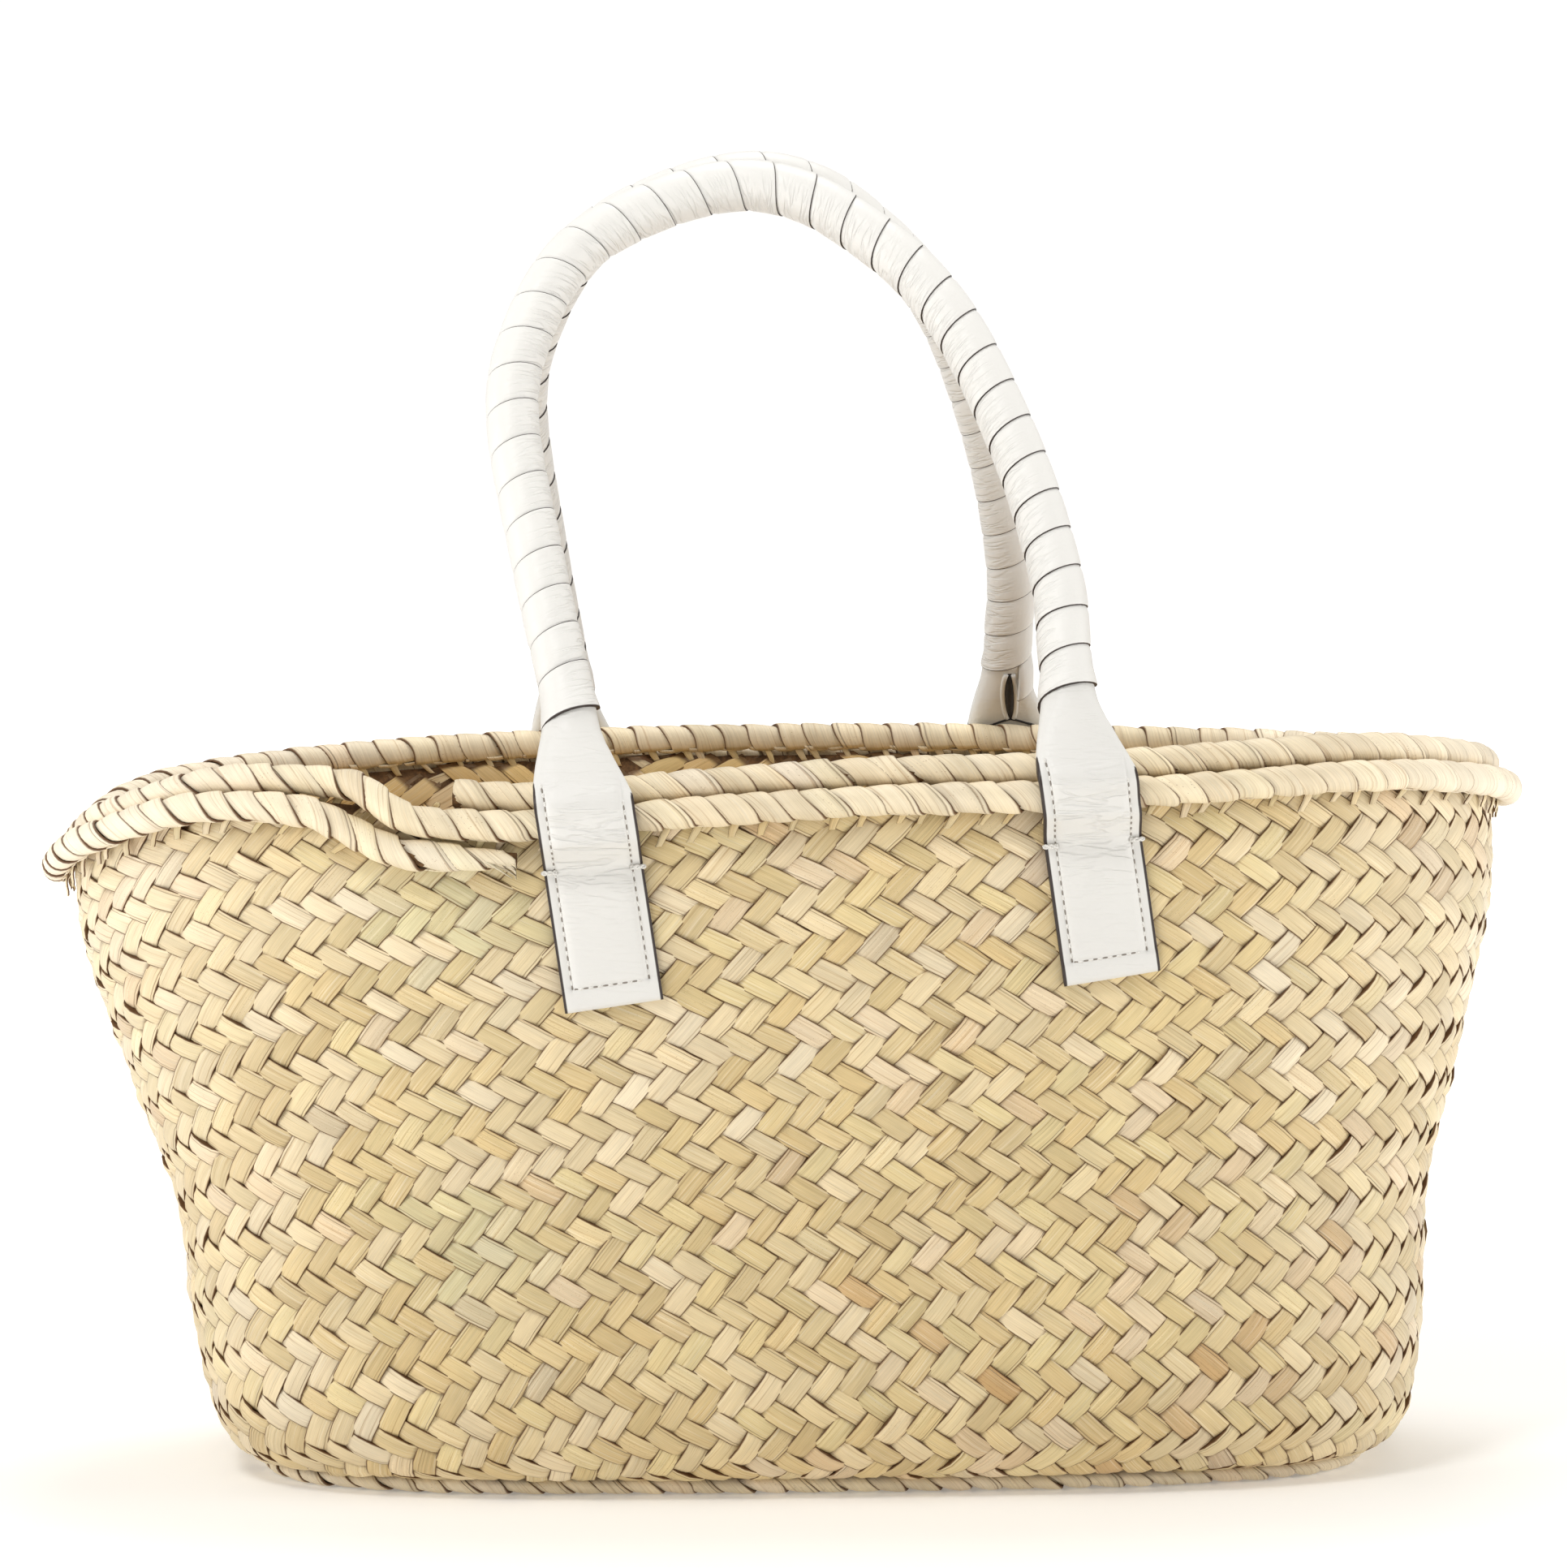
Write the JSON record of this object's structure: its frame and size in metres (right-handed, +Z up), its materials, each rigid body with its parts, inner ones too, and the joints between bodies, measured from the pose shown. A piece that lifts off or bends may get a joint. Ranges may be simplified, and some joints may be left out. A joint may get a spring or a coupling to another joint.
{
  "type": "woven basket",
  "caption": "Oval plaited palm-leaf basket with a wrapped rim and a pair of leather-wrapped carrying handles that fold outward.",
  "frame": {"origin": "on the floor under the middle of the basket's box", "axes": "+X along the basket to its right end, +Y from the front handle to the back one, +Z up"},
  "size_m": [0.5718, 0.2752, 0.5066],
  "materials": {
    "palm_leaf": "dry matte plaited leaf",
    "rim_leaf": "dry matte wrapped leaf",
    "white_leather": "soft grained leather with painted edges",
    "rope": "plain twisted rope",
    "stiffener": "plain felt",
    "white_thread": "waxed thread"
  },
  "bodies": {
    "basket": {"back_left_tab": "white_leather", "back_left_tab_filler": "stiffener", "back_left_tab_left_bartack": "white_thread", "back_left_tab_right_bartack": "white_thread", "back_right_tab": "white_leather", "back_right_tab_filler": "stiffener", "back_right_tab_left_bartack": "white_thread", "back_right_tab_right_bartack": "white_thread", "base_coil": "palm_leaf", "foot_ring": "rim_leaf", "front_left_tab": "white_leather", "front_left_tab_filler": "stiffener", "front_left_tab_left_bartack": "white_thread", "front_left_tab_right_bartack": "white_thread", "front_right_tab": "white_leather", "front_right_tab_filler": "stiffener", "front_right_tab_left_bartack": "white_thread", "front_right_tab_right_bartack": "white_thread", "rim_roll": "rim_leaf", "wall_turn_1": "palm_leaf", "wall_turn_2": "palm_leaf", "wall_turn_3": "palm_leaf", "wall_turn_4": "palm_leaf"},
    "front_handle": {"front_handle_rope_core": "rope", "front_handle_wrap": "white_leather", "front_left_sleeve": "white_leather", "front_right_sleeve": "white_leather"},
    "back_handle": {"back_handle_rope_core": "rope", "back_handle_wrap": "white_leather", "back_left_sleeve": "white_leather", "back_right_sleeve": "white_leather"}
  },
  "joints": [
    {"name": "front_handle_fold", "type": "hinge", "parent": "basket", "child": "front_handle", "pos_m": [0.011, -0.1376, 0.2659], "axis": [0.9988, 0, 0.0489], "range_deg": [0, 160]},
    {"name": "back_handle_fold", "type": "hinge", "parent": "basket", "child": "back_handle", "pos_m": [0.011, 0.1376, 0.27006], "axis": [-0.9998, 0, -0.0209], "range_deg": [0, 160]}
  ]
}
